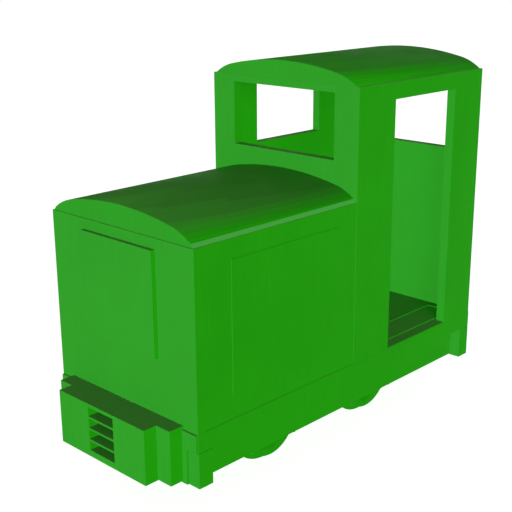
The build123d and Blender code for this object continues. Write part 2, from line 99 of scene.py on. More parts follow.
# How far the tone of paint clouds, on sheets, couplers, gear, the upper part of fittings, and enamel
CLOUD = 0.05
CAST_CLOUD = 0.07
GEAR_CLOUD = 0.10
FITTING_CLOUD = 0.12
ENAMEL_CLOUD = 0.15

# Share of brush marks in the tone, and depth and strength of the fine waviness of paint
BRUSH_SHARE = 0.35
PEEL_DEPTH = 0.0003
PEEL_STRENGTH = 0.5

# The range that most of a noise lies in, and the stretch of brush marks, waviness, turned rings and scratches
NOISE_SPAN = (0.3, 0.7)
BRUSH_STRETCH = (1.0, 1.0, 0.06)
PEEL_STRETCH = (1.0, 1.0, 0.25)
RING_STRETCH = (1.0, 0.02, 0.02)
SCRATCH_STRETCH = (6.0, 0.4, 0.4)

# Shares of a normal along X, Y and Z at which a face begins to count, and counts fully, as side, end or top
SIDE_FACING = (0.15, 0.85)
END_FACING = (0.5, 0.8)
TOP_FACING = (0.78, 0.97)

# Half the width of a sharp change from one finish to another
SHARP = 0.0005

# Arched sheets: angle between two folds, slopes with dust and painted sheen, slopes painted lighter as
# painted light, and dust and painted sheen on lid and roof
FOLD_ANGLE = radians(5.8)
CROWN_SLOPES = (radians(10), radians(30))
PAINTED_LIGHT_SLOPES = (radians(24), radians(65))
PAINTED_LIGHT_FADE = radians(12)
PAINTED_LIGHT_GAIN = 1.22
LID_DUST_AND_SHEEN = 0.5
ROOF_DUST_AND_SHEEN = 0.24

# Bevelled edges of the lid, which carry a painted highlight: height, margin, and the upward share of the
# normals of their faces
BEVEL_HEIGHT = 0.022
BEVEL_MARGIN = 0.001
BEVEL_FACING = (0.35, 0.95)
BEVEL_FADE = 0.02

# Dirt under the frame: the heights between which it thins out, and its shares there
DIRT_HEIGHTS = (0.15, 0.75)
DIRT_SHARES = (0.75, 0.2)

# Run surfaces of the wheels: how far inside the tread paint ends, and the sideways share of their normals
RUN_MARGINS = (0.003, 0.001)
RUN_FACING = (0.05, 0.2)

# Springs: thickness of a leaf, radius of the top leaf's upper face and height of its centre, start and end of
# the dark joints in shares of a leaf from its middle, facing of the leaves' sides, and end of the buckle
SPRING_LEAF = 0.010
SPRING_CURVE = 0.8325
SPRING_CENTRE_Z = 1.2195
SPRING_JOINT = (0.40, 0.47)
SPRING_FACING = (0.4, 0.7)
BUCKLE_ENDS = (0.036, 0.038)

# Distance from the tread at which the cast-iron brake blocks end
BLOCK_ENDS = (0.051, 0.053)

# Tread plate: pitch of the bars, half their length and half their width in shares of it, start and end of
# their flanks, and the upward share of the normals that have bars
TREAD_PITCH = 0.034
BAR_LENGTH = 0.42
BAR_WIDTH = 0.13
BAR_FLANK = (0.5, 1.1)
BAR_FACING = (0.5, 0.8)

# Heights of the lever knobs and of the handwheel's rim below the tops of their pieces
KNOB_HEIGHT = 0.026
HANDWHEEL_HEIGHT = 0.034

# Soft edges: widths on sheets and castings, steps, the angle that counts as an edge, reach of the weld, and
# the angle from which edges of the added smooth pieces stay sharp
BODY_EDGE = 0.0009
CAST_EDGE = 0.0026
EDGE_STEPS = 2
EDGE_ANGLE = radians(35)
WELD_REACH = 0.00002
SMOOTH_ANGLE = radians(32)

# How deep pieces are sunk into what carries them
SINK = 0.001

# Hexagon bolts, in shares of their size: thickness of washer and head, radii at foot and top, and chamfers
WASHER = 0.14
WASHER_RADII = (0.66, 0.62)
WASHER_WALL = 0.7
WASHER_SIDES = 16
HEAD = 0.62
HEAD_RADII = (0.56, 0.48)
HEAD_WALL = 0.82
HEAD_START = 0.9
HEAD_SIDES = 6

# Wheels: flange, tread, rim, web, hub and bore
WHEEL_SIDES = 120
FLANGE_HEIGHT = 0.038
FLANGE_TIP = 0.009
FLANGE_ROOT = 0.010
FLANGE_LEAN = radians(20)
TREAD_CONE = 1 / 20
RIM_WIDTH = 0.080
RIM_DEPTH = 0.042
RIM_EDGE = 0.004
WEB_DEPTH = 0.012
WEB_SLOPE = radians(28)
WEB_DISH = 0.004
WEB_FILLET = 0.010
HUB_BASE = 0.088
HUB_TIP = 0.077
HUB_EDGE = 0.003
AXLE_RADIUS = 0.040
ARC_STEPS = 6

# Covers on the axleboxes: radius and height of each ring, bolts along Y and Z from the middle, bolt size
COVER_RINGS = ((0.036, -SINK), (0.036, 0.004), (0.033, 0.006), (0.020, 0.006), (0.018, 0.010), (0.012, 0.011))
COVER_SIDES = 40
COVER_BOLT_Y = 0.046
COVER_BOLT_Z = 0.033
COVER_BOLT = 0.016

# Horn guides: thickness and width of their feet, and the bolts' places across and up a foot in shares of it
GUIDE_FOOT_PLATE = 0.012
GUIDE_FOOT = 0.056
GUIDE_BOLT_ACROSS = 0.68
GUIDE_BOLTS_UP = (0.2, 0.5, 0.8)
GUIDE_BOLT = 0.018

# Desk gauges: run and rise of the desk's slope, pitch and radius of the gauges. Rings, ticks and needles are
# in shares of the radius: rings by radius and height, bars by inner end, outer end and half their width
DESK_SLOPE_RUN = 0.070
DESK_SLOPE_RISE = 0.055
GAUGE_PITCH = 0.125
GAUGE_RADIUS = 0.031
GAUGE_SIDES = 48
BEZEL_RINGS = ((1.14, -SINK), (1.14, 0.006), (1.08, 0.009), (1.0, 0.009), (0.96, 0.005), (0.9, 0.003))
DIAL_RINGS = ((0.95, 0.0031), (0.94, 0.0039))
BOSS_RINGS = ((0.14, 0.0), (0.14, 0.0020), (0.1, 0.0026))
BOSS_SIDES = 20
BOSS_HEIGHT = 0.0042
NEEDLE_HEIGHT = 0.0046
NEEDLE = (-0.2, 0.68, 0.045)
NEEDLE_THICKNESS = 0.0012
NEEDLE_DEGREES = (-160, -100, -40)
TICK = (0.74, 0.90, 0.035)
TICK_THICKNESS = 0.0006
TICK_COUNT = 11
TICK_START = -135
TICK_STEP = 27

# Seat: height of its back over the pan, depth of pan and back, and places and sizes of its two pads
SEAT_BACK_HEIGHT = 0.330
SEAT_PAN_DEPTH = 0.036
SEAT_BACK_DEPTH = 0.036
PAD_MARGIN = 0.014
SEAT_PAD_START = 0.148
SEAT_PAD_HALF = 0.136
SEAT_PAD_THICKNESS = 0.030
BACK_PAD_DROP = 0.138
BACK_PAD_HALF = 0.124
BACK_PAD_THICKNESS = 0.026

# Pads: the block before it swells, as pairs of an inset and a share of the thickness, its cloth, and what is
# held, as heights in voxels from foot and seam
PAD_BLOCK = ((0.004, 0.0), (0.0, 0.2), (0.0, 0.75), (0.006, 0.93), (0.014, 1.0))
PAD_SIDES = 96
PAD_POWER = 5.0
PAD_PULL = 0.035
PAD_VOXEL = 0.005
PAD_PRESSURE = 4.0
PAD_FRAMES = 20
PAD_SWELL = 0.010
FOOT_HELD = 0.7
SEAM_HELD = 0.6
SEAM = 0.5
PIPING = 0.0032
PIPING_SIDES = 12

# Raised plates: corners, wall and chamfer, the last two in shares of the thickness
PLATE_SIDES = 48
PLATE_POWER = 9.0
PLATE_WALL = 0.7
PLATE_CHAMFER = 0.3

# Engine: crankcase doors, the strip along the head joint, rocker covers, and their bolts
CYLINDERS = 3
DOOR_HEIGHT = 0.20
DOOR_HALF_LENGTH = 0.095
DOOR_HALF_HEIGHT = 0.075
DOOR_THICKNESS = 0.008
DOOR_BOLT_Y = 0.080
DOOR_BOLT_Z = 0.060
DOOR_BOLT = 0.015
STRIP_DROP = 0.16
STRIP_MARGIN = 0.02
STRIP_HALF_HEIGHT = 0.018
STRIP_THICKNESS = 0.006
STRIP_BOLTS = 9
STRIP_BOLT = 0.014
ROCKER_HALF_LENGTH = 0.115
ROCKER_HALF_WIDTH = 0.150
ROCKER_THICKNESS = 0.016
ROCKER_BOLT_Y = 0.085
ROCKER_BOLT = 0.018

# Light: strength of the room, and for each lamp the direction it stands in, its power, its width in degrees
# and whether it throws a shadow
ROOM = 0.20
LAMPS = (
    ("front_lamp", (-0.53, -0.85, -0.1), 1.25, 12.0, False),
    ("right_lamp", (0.8, -0.6, -0.03), 2.15, 12.0, False),
    ("left_lamp", (-0.8, 0.6, -0.3), 1.8, 12.0, False),
    ("rear_lamp", (0.0, 1.0, -0.3), 1.4, 12.0, False),
    ("key_lamp", (0.75, -0.6, 0.28), 0.65, 25.0, True),
)
FLOOR_GLOW = 0.88
FLOOR_HALF = 30.0

# Places that the materials and pieces use, read from the frame
front_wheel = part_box("wheel_front_right")
rear_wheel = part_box("wheel_rear_right")
axle_ys = [(box[0][1] + box[1][1]) / 2 for box in (front_wheel, rear_wheel)]
axle_z = (front_wheel[0][2] + front_wheel[1][2]) / 2
flange_radius = (front_wheel[1][2] - front_wheel[0][2]) / 2
tread_radius = flange_radius - FLANGE_HEIGHT

# Materials of the nodes that aren't plain body paint, and nodes that are castings
NODE_MATERIALS = {
    "front_coupler": "cast", "rear_coupler": "cast", "bonnet_lid": "lid", "cab_roof": "roof",
    "cab_floor_mat": "tread", "control_levers": "levers", "brake_column": "column",
    "driver_seat": "seat", "springs_front": "spring", "springs_rear": "spring", "brake_hangers": "brake",
    "axle_front": "steel", "axle_rear": "steel", "brake_pull_rod": "gear", "brake_beams": "gear",
    "axleboxes_front": "gear", "axleboxes_rear": "gear", "horn_guides": "gear", "spring_hangers": "gear",
    "axle_drives": "gear", "engine": "gear", "gearbox": "gear", "frame_stretchers": "gear",
}
CAST_NODES = {
    "front_coupler", "rear_coupler", "axleboxes_front", "axleboxes_rear", "axle_drives", "gearbox", "engine",
    "wheel_front_right", "wheel_front_left", "wheel_rear_right", "wheel_rear_left",
}


def make_camera():
    """The camera stands where the photograph was seen from."""
    forward = Vector((-sin(HEADING) * cos(TILT), cos(HEADING) * cos(TILT), -sin(TILT)))
    level = Vector((cos(HEADING), sin(HEADING), 0.0))
    upright = level.cross(forward)
    right = level * cos(ROLL) + upright * sin(ROLL)
    up = upright * cos(ROLL) - level * sin(ROLL)
    data = bpy.data.cameras.new("camera")
    data.sensor_fit = "HORIZONTAL"
    data.sensor_width = SENSOR_MM
    data.lens = LENS_MM
    data.clip_end = VIEW_END
    camera = bpy.data.objects.new("camera", data)
    bpy.context.scene.collection.objects.link(camera)
    turn = Matrix((right, up, -forward)).transposed()
    camera.matrix_world = Matrix.Translation(CAMERA_PLACE) @ turn.to_4x4()
    bpy.context.scene.camera = camera


# Shader helpers

def new_material(name):
    """An empty material, with its node tree and its shader."""
    material = bpy.data.materials.new(name)
    material.use_nodes = True
    tree = material.node_tree
    tree.nodes.clear()
    output = tree.nodes.new("ShaderNodeOutputMaterial")
    shader = tree.nodes.new("ShaderNodeBsdfPrincipled")
    tree.links.new(shader.outputs["BSDF"], output.inputs["Surface"])
    return material, tree, shader


def finish(tree, shader, color, roughness, shine):
    """Gives a shader its colour, its roughness and its shine."""
    tree.links.new(color, shader.inputs["Base Color"])
    tree.links.new(roughness, shader.inputs["Roughness"])
    shader.inputs["Specular IOR Level"].default_value = shine


def calc(tree, operation, first, second=0.0, third=0.0):
    """One step of arithmetic on numbers or outputs."""
    node = tree.nodes.new("ShaderNodeMath")
    node.operation = operation
    for socket, value in zip(node.inputs, (first, second, third)):
        if isinstance(value, (int, float)):
            socket.default_value = value
        else:
            tree.links.new(value, socket)
    return node.outputs["Value"]


def hypotenuse(tree, first, second):
    """Distance over two lengths at a right angle."""
    squares = [calc(tree, "POWER", length, 2.0) for length in (first, second)]
    return calc(tree, "SQRT", calc(tree, "ADD", *squares))


def coordinates(tree, kind="Object"):
    """The three coordinates of the place on the piece, or of its normal."""
    split = tree.nodes.new("ShaderNodeSeparateXYZ")
    tree.links.new(tree.nodes.new("ShaderNodeTexCoord").outputs[kind], split.inputs["Vector"])
    return split.outputs["X"], split.outputs["Y"], split.outputs["Z"]


def facing(tree, axis):
    """Share of the normal along an axis, without its sign."""
    return calc(tree, "ABSOLUTE", coordinates(tree, "Normal")[axis])


def from_axle(tree, y, z, axle_y):
    """Distance from an axle, in the plane across it."""
    return hypotenuse(tree, calc(tree, "SUBTRACT", y, axle_y), calc(tree, "SUBTRACT", z, axle_z))


def from_nearer_axle(tree):
    """Distance from the nearer of the two axles."""
    _, y, z = coordinates(tree)
    return calc(tree, "MINIMUM", *(from_axle(tree, y, z, axle_y) for axle_y in axle_ys))


def noise(tree, scale, detail=3.0, roughness=0.5, stretch=(1.0, 1.0, 1.0)):
    """A noise that runs through the whole locomotive."""
    mapping = tree.nodes.new("ShaderNodeMapping")
    mapping.inputs["Scale"].default_value = stretch
    tree.links.new(tree.nodes.new("ShaderNodeTexCoord").outputs["Object"], mapping.inputs["Vector"])
    texture = tree.nodes.new("ShaderNodeTexNoise")
    texture.inputs["Scale"].default_value = scale
    texture.inputs["Detail"].default_value = detail
    texture.inputs["Roughness"].default_value = roughness
    tree.links.new(mapping.outputs["Vector"], texture.inputs["Vector"])
    return texture.outputs["Fac"]


def spread(tree, value, low, high, low_to=0.0, high_to=1.0):
    """Maps a value from one range to another, held at the ends."""
    node = tree.nodes.new("ShaderNodeMapRange")
    node.inputs["From Min"].default_value = low
    node.inputs["From Max"].default_value = high
    node.inputs["To Min"].default_value = low_to
    node.inputs["To Max"].default_value = high_to
    tree.links.new(value, node.inputs["Value"])
    return node.outputs["Result"]


def between(tree, value, low, high, edge=SHARP):
    """One inside a range and nothing outside it."""
    rise = spread(tree, value, low - edge, low + edge)
    fall = spread(tree, value, high - edge, high + edge, 1.0, 0.0)
    return calc(tree, "MULTIPLY", rise, fall)


def mix_colors(tree, factor, first, second):
    """Two colours, or colour outputs, mixed by a factor."""
    node = tree.nodes.new("ShaderNodeMix")
    node.data_type = "RGBA"
    ends = [socket for socket in node.inputs if socket.type == "RGBA"]
    for socket, value in zip(ends, (first, second)):
        if isinstance(value, tuple):
            socket.default_value = (*value, 1.0)
        else:
            tree.links.new(value, socket)
    tree.links.new(factor, node.inputs["Factor"])
    return [socket for socket in node.outputs if socket.type == "RGBA"][0]


def mix_values(tree, factor, first, second):
    """Two values mixed by a factor."""
    part = calc(tree, "SUBTRACT", second, first)
    return calc(tree, "MULTIPLY_ADD", part, factor, first)


def bump(tree, shader, height, distance, strength, normal=None):
    """Fine relief from a height between 0 and 1."""
    node = tree.nodes.new("ShaderNodeBump")
    node.inputs["Distance"].default_value = distance
    node.inputs["Strength"].default_value = strength
    if normal is not None:
        tree.links.new(normal, node.inputs["Normal"])
    tree.links.new(height, node.inputs["Height"])
    tree.links.new(node.outputs["Normal"], shader.inputs["Normal"])


def tint(color, factor):
    """A colour made lighter or darker by a factor."""
    return tuple(channel * factor for channel in color)


def paint_color(tree, color, cloud=CLOUD):
    """Paint that varies a little over the sheets, with faint upright brush marks."""
    slow = spread(tree, noise(tree, scale=1.6, detail=4.0, roughness=0.55), *NOISE_SPAN)
    brushed = spread(tree, noise(tree, scale=60.0, detail=2.0, stretch=BRUSH_STRETCH), *NOISE_SPAN)
    tone = mix_values(tree, BRUSH_SHARE, slow, brushed)
    return mix_colors(tree, tone, tint(color, 1 - cloud), tint(color, 1 + cloud))


def body_color(tree, cloud=CLOUD, factor=1.0):
    """Fresh green on the sides, paler on the ends as fading and a painted sheen, and greyer on top as dust
    and a painted sheen.
    """
    fresh, fade_and_sheen, dust_and_sheen = (
        paint_color(tree, tint(color, factor), cloud) for color in (GREEN, FADE_AND_SHEEN_GREEN, DUST_AND_SHEEN_GREEN)
    )
    # Ends paler than the sides: fading, and a painted sheen
    clean = mix_colors(tree, spread(tree, facing(tree, 0), *SIDE_FACING), fade_and_sheen, fresh)
    # Upward faces greyer: dust, and a painted sheen
    upward = spread(tree, coordinates(tree, "Normal")[2], *TOP_FACING)
    return mix_colors(tree, upward, clean, dust_and_sheen)


def gloss(tree, middle, swing=GLOSS_SWING):
    """Roughness that varies over a hand's breadth."""
    patches = noise(tree, scale=8.0, detail=5.0, roughness=0.6)
    return spread(tree, patches, *NOISE_SPAN, middle - swing, middle + swing)


def peel(tree):
    """The fine waviness of brushed paint."""
    return noise(tree, scale=330.0, detail=2.0, stretch=PEEL_STRETCH)


def fold_slope(tree):
    """Slope of the narrow lengthwise fold that a place on an arched sheet lies in."""
    x, _, z = coordinates(tree, "Normal")
    folds = calc(tree, "DIVIDE", calc(tree, "ARCTAN2", x, z), FOLD_ANGLE)
    return calc(tree, "MULTIPLY", calc(tree, "ROUND", folds), FOLD_ANGLE)


def folded_normal(tree):
    """The normal of an arched sheet that was bent in many narrow lengthwise folds."""
    slope = fold_slope(tree)
    y = coordinates(tree, "Normal")[1]
    across = calc(tree, "SQRT", calc(tree, "SUBTRACT", 1.0, calc(tree, "MULTIPLY", y, y)))
    join = tree.nodes.new("ShaderNodeCombineXYZ")
    tree.links.new(calc(tree, "MULTIPLY", calc(tree, "SINE", slope), across), join.inputs["X"])
    tree.links.new(y, join.inputs["Y"])
    tree.links.new(calc(tree, "MULTIPLY", calc(tree, "COSINE", slope), across), join.inputs["Z"])
    turn = tree.nodes.new("ShaderNodeVectorTransform")
    turn.vector_type = "NORMAL"
    turn.convert_from = "OBJECT"
    turn.convert_to = "WORLD"
    tree.links.new(join.outputs["Vector"], turn.inputs["Vector"])
    return turn.outputs["Vector"]


def arched_color(tree, crown_dust_and_sheen):
    """Body paint on an arched sheet, with dust and a painted sheen along its crown and painted light down its
    slopes.
    """
    slope = calc(tree, "ABSOLUTE", fold_slope(tree))
    # Slopes painted lighter as painted light
    wear_and_painted_light = between(tree, slope, *PAINTED_LIGHT_SLOPES, PAINTED_LIGHT_FADE)
    clean = mix_colors(tree, wear_and_painted_light, paint_color(tree, GREEN), paint_color(tree, tint(GREEN, PAINTED_LIGHT_GAIN)))
    # The crown greyer: dust, and a painted sheen
    crown = spread(tree, slope, *CROWN_SLOPES, crown_dust_and_sheen, 0.0)
    arched = mix_colors(tree, crown, clean, paint_color(tree, DUST_AND_SHEEN_GREEN))
    return mix_colors(tree, spread(tree, facing(tree, 1), *END_FACING), arched, body_color(tree))


# Materials

def green_paint():
    """Satin paint on the sheets and beams of the body."""
    material, tree, shader = new_material("green_paint")
    finish(tree, shader, body_color(tree), gloss(tree, PAINT_ROUGHNESS), PAINT_SHINE)
    bump(tree, shader, peel(tree), PEEL_DEPTH, PEEL_STRENGTH)
    return material


def cast_paint():
    """The same paint over the sandy skin of the coupler castings."""
    material, tree, shader = new_material("cast_paint")
    finish(tree, shader, body_color(tree, CAST_CLOUD), gloss(tree, CAST_ROUGHNESS), PAINT_SHINE)
    sand = noise(tree, scale=110.0, detail=5.0, roughness=0.62)
    bump(tree, shader, sand, distance=0.0012, strength=0.6)
    return material


def roof_paint():
    """The same paint on the folded sheet of the roof."""
    material, tree, shader = new_material("roof_paint")
    finish(tree, shader, arched_color(tree, ROOF_DUST_AND_SHEEN), gloss(tree, PAINT_ROUGHNESS), ROOF_SHINE)
    bump(tree, shader, peel(tree), PEEL_DEPTH, PEEL_STRENGTH, folded_normal(tree))
    return material


def lid_paint():
    """The same paint on the folded lid, with a painted highlight along its bevelled edges."""
    material, tree, shader = new_material("lid_paint")
    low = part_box("bonnet_lid")[0][2]
    z = coordinates(tree)[2]
    upward = coordinates(tree, "Normal")[2]
    on_bevel = between(tree, z, low + BEVEL_MARGIN, low + BEVEL_HEIGHT - BEVEL_MARGIN)
    facing_up = between(tree, upward, *BEVEL_FACING, BEVEL_FADE)
    # A painted highlight on the bevel faces
    painted_highlight = calc(tree, "MULTIPLY", on_bevel, facing_up)
    base = mix_colors(tree, painted_highlight, arched_color(tree, LID_DUST_AND_SHEEN), HIGHLIGHT_GREEN)
    finish(tree, shader, base, gloss(tree, PAINT_ROUGHNESS), ROOF_SHINE)
    bump(tree, shader, peel(tree), PEEL_DEPTH, PEEL_STRENGTH, folded_normal(tree))
    return material


def gear_paint():
    """Darker paint under the frame, with oily dirt in patches and low down."""
    material, tree, shader = new_material("gear_paint")
    patches = spread(tree, noise(tree, scale=5.0, detail=6.0, roughness=0.65), low=0.45, high=0.68)
    low_down = spread(tree, coordinates(tree)[2], *DIRT_HEIGHTS, *DIRT_SHARES)
    dirt = calc(tree, "MULTIPLY", patches, low_down)
    base = mix_colors(tree, dirt, paint_color(tree, GEAR_GREEN, GEAR_CLOUD), GRIME)
    rough = mix_values(tree, dirt, gloss(tree, GEAR_ROUGHNESS), GREASE_ROUGHNESS)
    finish(tree, shader, base, rough, GEAR_SHINE)
    sand = noise(tree, scale=140.0, detail=4.0, roughness=0.6)
    bump(tree, shader, sand, distance=0.0006, strength=0.5)
    return material


def wheel_paint():
    """Painted cast wheel with treads and flange edges rolled bare, their steel dark with grease and painted
    shade.
    """
    material, tree, shader = new_material("wheel_paint")
    margins = [tread_radius - margin for margin in RUN_MARGINS]
    outer = spread(tree, from_nearer_axle(tree), *margins)
    rolling = spread(tree, facing(tree, 0), *RUN_FACING, 1.0, 0.0)
    bare = calc(tree, "MULTIPLY", outer, rolling)
    patches = noise(tree, scale=7.0, detail=5.0, roughness=0.6)
    dirt = spread(tree, patches, low=0.42, high=0.75, high_to=0.35)
    painted = mix_colors(tree, dirt, body_color(tree), tint(GREEN, factor=0.55))
    scratches = noise(tree, scale=90.0, roughness=0.6, stretch=SCRATCH_STRETCH)
    rolled = spread(tree, scratches, *NOISE_SPAN, low_to=0.22, high_to=0.42)
    rough = mix_values(tree, bare, gloss(tree, GEAR_ROUGHNESS), rolled)
    # Bare treads dark with grease and painted shade
    finish(tree, shader, mix_colors(tree, bare, painted, TREAD_GREASE_AND_SHADE_STEEL), rough, PAINT_SHINE)
    tree.links.new(bare, shader.inputs["Metallic"])
    sand = noise(tree, scale=160.0, roughness=0.6)
    bump(tree, shader, sand, distance=0.0005, strength=0.4)
    return material


def bare_steel():
    """Turned steel with a skin of grease."""
    material, tree, shader = new_material("bare_steel")
    grease = spread(tree, noise(tree, scale=11.0, detail=5.0, roughness=0.6), low=0.42, high=0.62)
    base = mix_colors(tree, grease, tint(STEEL, factor=0.8), tint(STEEL, factor=0.25))
    tree.links.new(base, shader.inputs["Base Color"])
    shader.inputs["Metallic"].default_value = 1.0
    rings = noise(tree, scale=260.0, detail=2.0, stretch=RING_STRETCH)
    turned = spread(tree, rings, *NOISE_SPAN, low_to=0.28, high_to=0.48)
    tree.links.new(turned, shader.inputs["Roughness"])
    return material


def spring_paint():
    """Laminated springs: dark joints between the leaves on their side faces, and patches of rust."""
    material, tree, shader = new_material("spring_paint")
    _, y, z = coordinates(tree)
    offsets = [calc(tree, "ABSOLUTE", calc(tree, "SUBTRACT", y, axle_y)) for axle_y in axle_ys]
    along = calc(tree, "MINIMUM", *offsets)
    reach = hypotenuse(tree, along, calc(tree, "SUBTRACT", SPRING_CENTRE_Z, z))
    count = calc(tree, "DIVIDE", calc(tree, "SUBTRACT", reach, SPRING_CURVE), SPRING_LEAF)
    from_middle = calc(tree, "ABSOLUTE", calc(tree, "SUBTRACT", calc(tree, "FRACT", count), 0.5))
    joint = spread(tree, from_middle, *SPRING_JOINT)
    sideways = spread(tree, facing(tree, 0), *SPRING_FACING)
    off_buckle = spread(tree, along, *BUCKLE_ENDS)
    line = calc(tree, "MULTIPLY", calc(tree, "MULTIPLY", joint, sideways), off_buckle)
    patches = noise(tree, scale=22.0, detail=5.0, roughness=0.65)
    rust = spread(tree, patches, low=0.5, high=0.7, high_to=0.6)
    dark = mix_colors(tree, rust, paint_color(tree, GEAR_GREEN, GEAR_CLOUD), CAST_IRON)
    finish(tree, shader, mix_colors(tree, line, dark, GRIME), gloss(tree, GEAR_ROUGHNESS), GEAR_SHINE)
    bump(tree, shader, calc(tree, "SUBTRACT", 1.0, line), distance=0.0015, strength=0.8)
    return material


def brake_paint():
    """Painted straps and shafts with raw cast-iron blocks beside the treads."""
    material, tree, shader = new_material("brake_paint")
    ends = [tread_radius + end for end in BLOCK_ENDS]
    block = spread(tree, from_nearer_axle(tree), *ends, 1.0, 0.0)
    patches = spread(tree, noise(tree, scale=30.0, detail=6.0, roughness=0.7), low=0.35, high=0.65)
    iron = mix_colors(tree, patches, CAST_IRON, tint(CAST_IRON, factor=0.45))
    base = mix_colors(tree, block, paint_color(tree, GEAR_GREEN, GEAR_CLOUD), iron)
    finish(tree, shader, base, gloss(tree, BRAKE_ROUGHNESS), GEAR_SHINE)
    sand = noise(tree, scale=120.0, detail=4.0, roughness=0.65)
    bump(tree, shader, sand, distance=0.0007, strength=0.6)
    return material


def tread_plate():
    """Painted chequer plate: raised bars that lie across each other in turn."""
    material, tree, shader = new_material("tread_plate")
    x, y, _ = coordinates(tree)
    steps = [calc(tree, "DIVIDE", calc(tree, sign, x, y), TREAD_PITCH) for sign in ("ADD", "SUBTRACT")]
    cell = calc(tree, "ADD", *(calc(tree, "FLOOR", step) for step in steps))
    odd = calc(tree, "PINGPONG", cell, 1.0)
    first, second = (calc(tree, "SUBTRACT", calc(tree, "FRACT", step), 0.5) for step in steps)
    long_way = calc(tree, "DIVIDE", mix_values(tree, odd, first, second), BAR_LENGTH)
    short_way = calc(tree, "DIVIDE", mix_values(tree, odd, second, first), BAR_WIDTH)
    squares = [calc(tree, "POWER", calc(tree, "ABSOLUTE", way), 2.0) for way in (long_way, short_way)]
    bar = spread(tree, calc(tree, "ADD", *squares), *BAR_FLANK, 1.0, 0.0)
    upward = spread(tree, coordinates(tree, "Normal")[2], *BAR_FACING)
    raised = calc(tree, "MULTIPLY", bar, upward)
    patches = noise(tree, scale=4.0, detail=4.0, roughness=0.6)
    wear_and_painted_light = calc(tree, "MULTIPLY", raised, spread(tree, patches, low=0.4, high=0.7, low_to=0.1, high_to=0.6))
    base = mix_colors(tree, wear_and_painted_light, body_color(tree, factor=0.9), tint(FADE_AND_SHEEN_GREEN, factor=1.2))
    finish(tree, shader, base, gloss(tree, PAINT_ROUGHNESS), PAINT_SHINE)
    bump(tree, shader, raised, distance=0.0015, strength=0.7)
    return material


def split_paint(name, low_color, high_color, level, high_roughness):
    """Paint below a height and another finish above it, as on a lever with its knob."""
    material, tree, shader = new_material(name)
    above = spread(tree, coordinates(tree)[2], level - SHARP, level + SHARP)
    low_paint = paint_color(tree, low_color)
    high_paint = paint_color(tree, high_color, FITTING_CLOUD)
    rough = mix_values(tree, above, gloss(tree, PAINT_ROUGHNESS), gloss(tree, high_roughness))
    finish(tree, shader, mix_colors(tree, above, low_paint, high_paint), rough, LEVER_SHINE)
    bump(tree, shader, noise(tree, scale=380.0), distance=0.0002, strength=0.5)
    return material


def vinyl():
    """Grained black vinyl with a slight sheen."""
    material, tree, shader = new_material("vinyl")
    wear_and_painted_light = spread(tree, noise(tree, scale=9.0, detail=5.0, roughness=0.6), low=0.4, high=0.7)
    base = mix_colors(tree, wear_and_painted_light, VINYL, tint(VINYL, factor=1.9))
    finish(tree, shader, base, gloss(tree, VINYL_ROUGHNESS, swing=0.09), VINYL_SHINE)
    grain = tree.nodes.new("ShaderNodeTexVoronoi")
    grain.inputs["Scale"].default_value = 420.0
    tree.links.new(tree.nodes.new("ShaderNodeTexCoord").outputs["Object"], grain.inputs["Vector"])
    bump(tree, shader, grain.outputs["Distance"], distance=0.0004, strength=0.6)
    return material


def dial_face():
    """Pale dial enamel with fine speckles of age."""
    material, tree, shader = new_material("dial_face")
    age = spread(tree, noise(tree, scale=60.0, detail=4.0, roughness=0.6), low=0.45, high=0.8)
    base = mix_colors(tree, age, DIAL, tint(DIAL, factor=0.8))
    finish(tree, shader, base, gloss(tree, DIAL_ROUGHNESS, swing=0.05), DIAL_SHINE)
    return material


def black_enamel():
    """Black enamel of bezels and needles."""
    material, tree, shader = new_material("black_enamel")
    base = paint_color(tree, BLACK, ENAMEL_CLOUD)
    finish(tree, shader, base, gloss(tree, ENAMEL_ROUGHNESS, swing=0.06), ENAMEL_SHINE)
    bump(tree, shader, peel(tree), distance=0.0002, strength=0.4)
    return material


def make_materials():
    """All finishes, by the short names that NODE_MATERIALS and the added pieces use."""
    knob_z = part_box("control_levers")[1][2] - KNOB_HEIGHT
    handwheel_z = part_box("brake_column")[1][2] - HANDWHEEL_HEIGHT
    seat_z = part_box("driver_seat")[1][2] - SEAT_BACK_HEIGHT - SEAT_PAN_DEPTH
    lever_green = tint(GREEN, factor=0.8)
    seat_green = tint(GEAR_GREEN, factor=0.8)
    return {
        "green": green_paint(),
        "cast": cast_paint(),
        "lid": lid_paint(),
        "roof": roof_paint(),
        "gear": gear_paint(),
        "wheel": wheel_paint(),
        "steel": bare_steel(),
        "spring": spring_paint(),
        "brake": brake_paint(),
        "tread": tread_plate(),
        "levers": split_paint("lever_finish", lever_green, BLACK, knob_z, KNOB_ROUGHNESS),
        "column": split_paint("column_finish", GREEN, BLACK, handwheel_z, HANDWHEEL_ROUGHNESS),
        "seat": split_paint("seat_finish", GREEN, seat_green, seat_z, SEAT_ROUGHNESS),
        "vinyl": vinyl(),
        "dial": dial_face(),
        "black": black_enamel(),
    }


def soften(piece, width):
    """Breaks the sharp edges of a CAD piece, whose faces come apart at their edges."""
    weld = piece.modifiers.new("weld", "WELD")
    weld.merge_threshold = WELD_REACH
    bevel = piece.modifiers.new("bevel", "BEVEL")
    bevel.width = width
    bevel.segments = EDGE_STEPS
    bevel.limit_method = "ANGLE"
    bevel.angle_limit = EDGE_ANGLE
    bevel.use_clamp_overlap = True
    bevel.harden_normals = True


def dress_frame(materials):
    """Every CAD piece gets its paint and softly broken edges."""
    for name, piece in nodes.items():
        kind = "wheel" if name.startswith("wheel_") else NODE_MATERIALS.get(name, "green")
        piece.data.materials.clear()
        piece.data.materials.append(materials[kind])
        soften(piece, CAST_EDGE if name in CAST_NODES else BODY_EDGE)


# Pieces that the frame leaves to this script

